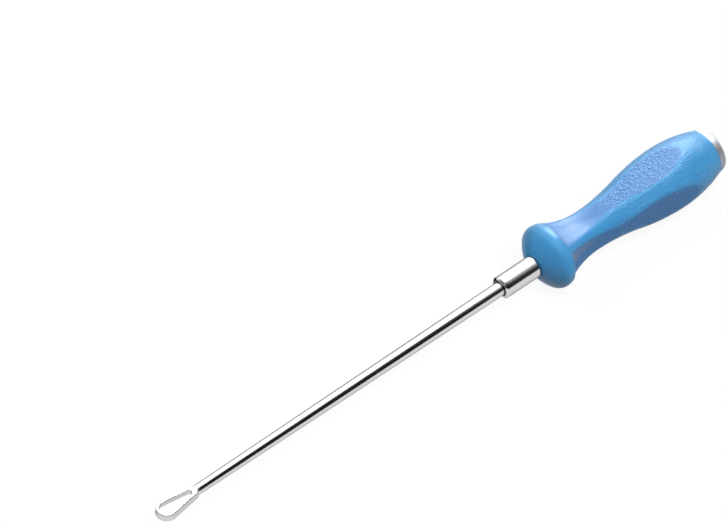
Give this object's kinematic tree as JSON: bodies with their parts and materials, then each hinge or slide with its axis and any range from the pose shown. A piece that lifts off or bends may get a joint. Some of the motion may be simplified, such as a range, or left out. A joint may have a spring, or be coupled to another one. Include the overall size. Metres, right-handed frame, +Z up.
{
  "type": "ring curette",
  "caption": "Ring curette: a teardrop ring blade on a tapered round steel shaft, with a steel ferrule and a fluted silicone handle with a flange and a steel striking plate.",
  "frame": {"origin": "centre of the striking plate's bare face at the butt", "axes": "+X along the instrument towards the ring blade, +Z up and square to the plane of the ring"},
  "size_m": [0.3, 0.0286, 0.0286],
  "materials": {
    "polished_steel": "polished surgical steel with a soft mirror",
    "blue_silicone": "satin moulded silicone, finely grained on the flutes",
    "core_aluminium": "turned",
    "fastener_steel": "turned"
  },
  "bodies": {
    "root": {"ring_blade": "polished_steel", "shaft": "polished_steel", "ferrule": "polished_steel", "striking_plate": "polished_steel", "silicone_grip": "blue_silicone", "handle_core": "core_aluminium", "ferrule_pin": "fastener_steel", "tang_pin": "fastener_steel", "plate_pin": "fastener_steel", "tang_washer": "fastener_steel", "tang_nut": "fastener_steel"}
  },
  "joints": []
}
